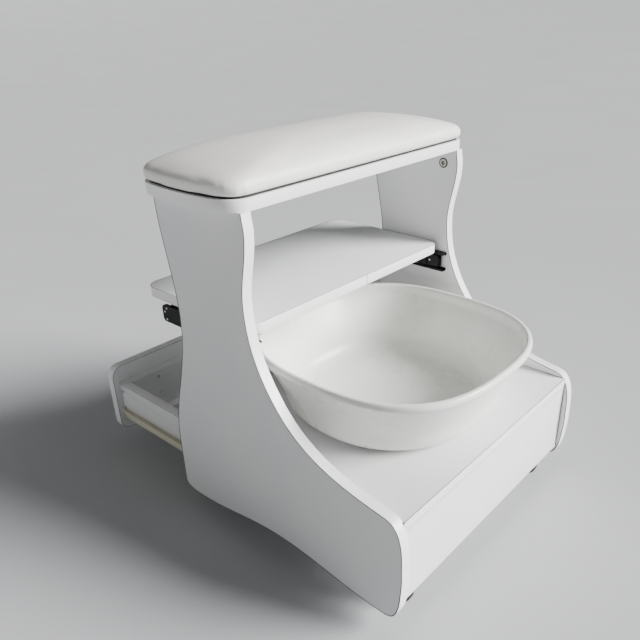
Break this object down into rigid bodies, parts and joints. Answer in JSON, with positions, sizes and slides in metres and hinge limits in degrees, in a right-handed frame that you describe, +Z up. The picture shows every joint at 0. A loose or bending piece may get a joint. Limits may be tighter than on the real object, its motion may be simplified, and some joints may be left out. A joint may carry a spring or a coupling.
{
  "type": "pedicure station",
  "caption": "Rolling pedicure station: padded footrest on shaped white side panels, sliding shelf, platform with a lift-out foot basin, open drawer and casters.",
  "frame": {"origin": "centre of the underside of the stored pose, on the floor", "axes": "+X right seen from the platform side, +Y from the platform to the drawer side, +Z up"},
  "size_m": [0.54, 0.705, 0.6125],
  "materials": {
    "white_board": "white melamine on particle board, satin",
    "edge_band": "white edge band, 1 mm",
    "leatherette": "white leatherette, satin",
    "black_board": "black board",
    "zinc": "zinc plated",
    "dowel_wood": "beech, plain",
    "black_steel": "black coated steel",
    "bearing_steel": "plated steel cages and balls",
    "cream_steel": "cream powder coat",
    "nylon": "white nylon",
    "caster_nylon": "black nylon",
    "basin_plastic": "white polypropylene"
  },
  "bodies": {
    "carcass": {"side_panel_left": "white_board", "side_panel_right": "white_board", "edge_band_left": "edge_band", "edge_band_right": "edge_band", "top_board": "white_board", "cushion_base": "black_board", "cushion_pad": "leatherette", "cushion_screws": "zinc", "platform_board": "white_board", "front_apron": "white_board", "back_panel": "white_board", "base_board": "white_board", "cam_locks": "zinc", "cam_bolts": "zinc", "dowels": "dowel_wood", "slide_outer_left": "black_steel", "slide_outer_right": "black_steel", "slide_screws": "black_steel", "cabinet_runner_left": "cream_steel", "cabinet_runner_right": "cream_steel", "runner_screws": "zinc", "caster_plates": "black_steel", "caster_screws": "zinc"},
    "shelf": {"sliding_shelf": "white_board", "shelf_bracket_left": "black_steel", "shelf_bracket_right": "black_steel", "bracket_screws": "black_steel", "slide_inner_left": "black_steel", "slide_inner_right": "black_steel"},
    "slide_middle_l": {"slide_middle_left": "black_steel"},
    "slide_middle_r": {"slide_middle_right": "black_steel"},
    "cage_outer_l": {"ball_cage_outer_left": "bearing_steel"},
    "cage_outer_r": {"ball_cage_outer_right": "bearing_steel"},
    "cage_inner_l": {"ball_cage_inner_left": "bearing_steel"},
    "cage_inner_r": {"ball_cage_inner_right": "bearing_steel"},
    "drawer": {"drawer_face": "white_board", "drawer_front_wall": "white_board", "drawer_back_wall": "white_board", "drawer_side_left": "white_board", "drawer_side_right": "white_board", "drawer_bottom": "white_board", "drawer_divider": "white_board", "drawer_screws": "zinc", "drawer_runner_left": "cream_steel", "drawer_runner_right": "cream_steel"},
    "roller_front_l": {"front_roller_left": "nylon"},
    "roller_front_r": {"front_roller_right": "nylon"},
    "roller_rear_l": {"rear_roller_left": "nylon"},
    "roller_rear_r": {"rear_roller_right": "nylon"},
    "basin_body": {"basin": "basin_plastic"},
    "fork_front_left": {"caster_fork_front_left": "black_steel"},
    "wheel_front_left": {"caster_wheel_front_left": "caster_nylon"},
    "fork_front_right": {"caster_fork_front_right": "black_steel"},
    "wheel_front_right": {"caster_wheel_front_right": "caster_nylon"},
    "fork_rear_left": {"caster_fork_rear_left": "black_steel"},
    "wheel_rear_left": {"caster_wheel_rear_left": "caster_nylon"},
    "fork_rear_right": {"caster_fork_rear_right": "black_steel"},
    "wheel_rear_right": {"caster_wheel_rear_right": "caster_nylon"}
  },
  "joints": [
    {"name": "shelf_slide", "type": "slide", "parent": "carcass", "child": "shelf", "axis": [0, 1, 0], "range_m": [0, 0.19]},
    {"name": "slide_middle_l", "type": "slide", "parent": "carcass", "child": "slide_middle_l", "axis": [0, 1, 0], "range_m": [0, 0.095]},
    {"name": "cage_outer_l_slide", "type": "slide", "parent": "carcass", "child": "cage_outer_l", "axis": [0, 1, 0], "range_m": [0, 0.0475]},
    {"name": "cage_inner_l_slide", "type": "slide", "parent": "carcass", "child": "cage_inner_l", "axis": [0, 1, 0], "range_m": [0, 0.1425]},
    {"name": "slide_middle_r", "type": "slide", "parent": "carcass", "child": "slide_middle_r", "axis": [0, 1, 0], "range_m": [0, 0.095]},
    {"name": "cage_outer_r_slide", "type": "slide", "parent": "carcass", "child": "cage_outer_r", "axis": [0, 1, 0], "range_m": [0, 0.0475]},
    {"name": "cage_inner_r_slide", "type": "slide", "parent": "carcass", "child": "cage_inner_r", "axis": [0, 1, 0], "range_m": [0, 0.1425]},
    {"name": "drawer_slide", "type": "slide", "parent": "carcass", "child": "drawer", "axis": [0, 1, 0], "range_m": [-0.242, 0.052]},
    {"name": "roller_front_l_spin", "type": "hinge", "parent": "carcass", "child": "roller_front_l", "pos_m": [-0.2266, 0.0805, 0.07335], "axis": [1, 0, 0], "range_deg": [-353, 1634]},
    {"name": "roller_rear_l_spin", "type": "hinge", "parent": "drawer", "child": "roller_rear_l", "pos_m": [-0.2266, -0.0515, 0.07155], "axis": [1, 0, 0], "range_deg": [-353, 1634]},
    {"name": "roller_front_r_spin", "type": "hinge", "parent": "carcass", "child": "roller_front_r", "pos_m": [0.2266, 0.0805, 0.07335], "axis": [1, 0, 0], "range_deg": [-353, 1634]},
    {"name": "roller_rear_r_spin", "type": "hinge", "parent": "drawer", "child": "roller_rear_r", "pos_m": [0.2266, -0.0515, 0.07155], "axis": [1, 0, 0], "range_deg": [-353, 1634]},
    {"name": "swivel_front_left", "type": "hinge", "parent": "carcass", "child": "fork_front_left", "pos_m": [-0.192, -0.3005, 0.034], "axis": [0, 0, 1], "continuous": true},
    {"name": "wheel_front_left_spin", "type": "hinge", "parent": "fork_front_left", "child": "wheel_front_left", "pos_m": [-0.192, -0.3125, 0.016], "axis": [1, 0, 0], "continuous": true},
    {"name": "swivel_front_right", "type": "hinge", "parent": "carcass", "child": "fork_front_right", "pos_m": [0.192, -0.3005, 0.034], "axis": [0, 0, 1], "continuous": true},
    {"name": "wheel_front_right_spin", "type": "hinge", "parent": "fork_front_right", "child": "wheel_front_right", "pos_m": [0.192, -0.3125, 0.016], "axis": [1, 0, 0], "continuous": true},
    {"name": "swivel_rear_left", "type": "hinge", "parent": "carcass", "child": "fork_rear_left", "pos_m": [-0.192, 0.0525, 0.034], "axis": [0, 0, 1], "continuous": true},
    {"name": "wheel_rear_left_spin", "type": "hinge", "parent": "fork_rear_left", "child": "wheel_rear_left", "pos_m": [-0.192, 0.0405, 0.016], "axis": [1, 0, 0], "continuous": true},
    {"name": "swivel_rear_right", "type": "hinge", "parent": "carcass", "child": "fork_rear_right", "pos_m": [0.192, 0.0525, 0.034], "axis": [0, 0, 1], "continuous": true},
    {"name": "wheel_rear_right_spin", "type": "hinge", "parent": "fork_rear_right", "child": "wheel_rear_right", "pos_m": [0.192, 0.0405, 0.016], "axis": [1, 0, 0], "continuous": true},
    {"name": "basin_lift_out", "type": "slide", "parent": "carcass", "child": "basin_body", "axis": [0, -1, 0], "range_m": [0, 0.42]}
  ],
  "couplings": [
    {"joint": "slide_middle_l", "follows": "shelf_slide", "ratio": 0.5},
    {"joint": "cage_outer_l_slide", "follows": "shelf_slide", "ratio": 0.25},
    {"joint": "cage_inner_l_slide", "follows": "shelf_slide", "ratio": 0.75},
    {"joint": "slide_middle_r", "follows": "shelf_slide", "ratio": 0.5},
    {"joint": "cage_outer_r_slide", "follows": "shelf_slide", "ratio": 0.25},
    {"joint": "cage_inner_r_slide", "follows": "shelf_slide", "ratio": 0.75},
    {"joint": "roller_front_l_spin", "follows": "drawer_slide", "rad_per_m": -117.65},
    {"joint": "roller_rear_l_spin", "follows": "drawer_slide", "rad_per_m": -117.65},
    {"joint": "roller_front_r_spin", "follows": "drawer_slide", "rad_per_m": -117.65},
    {"joint": "roller_rear_r_spin", "follows": "drawer_slide", "rad_per_m": -117.65}
  ]
}
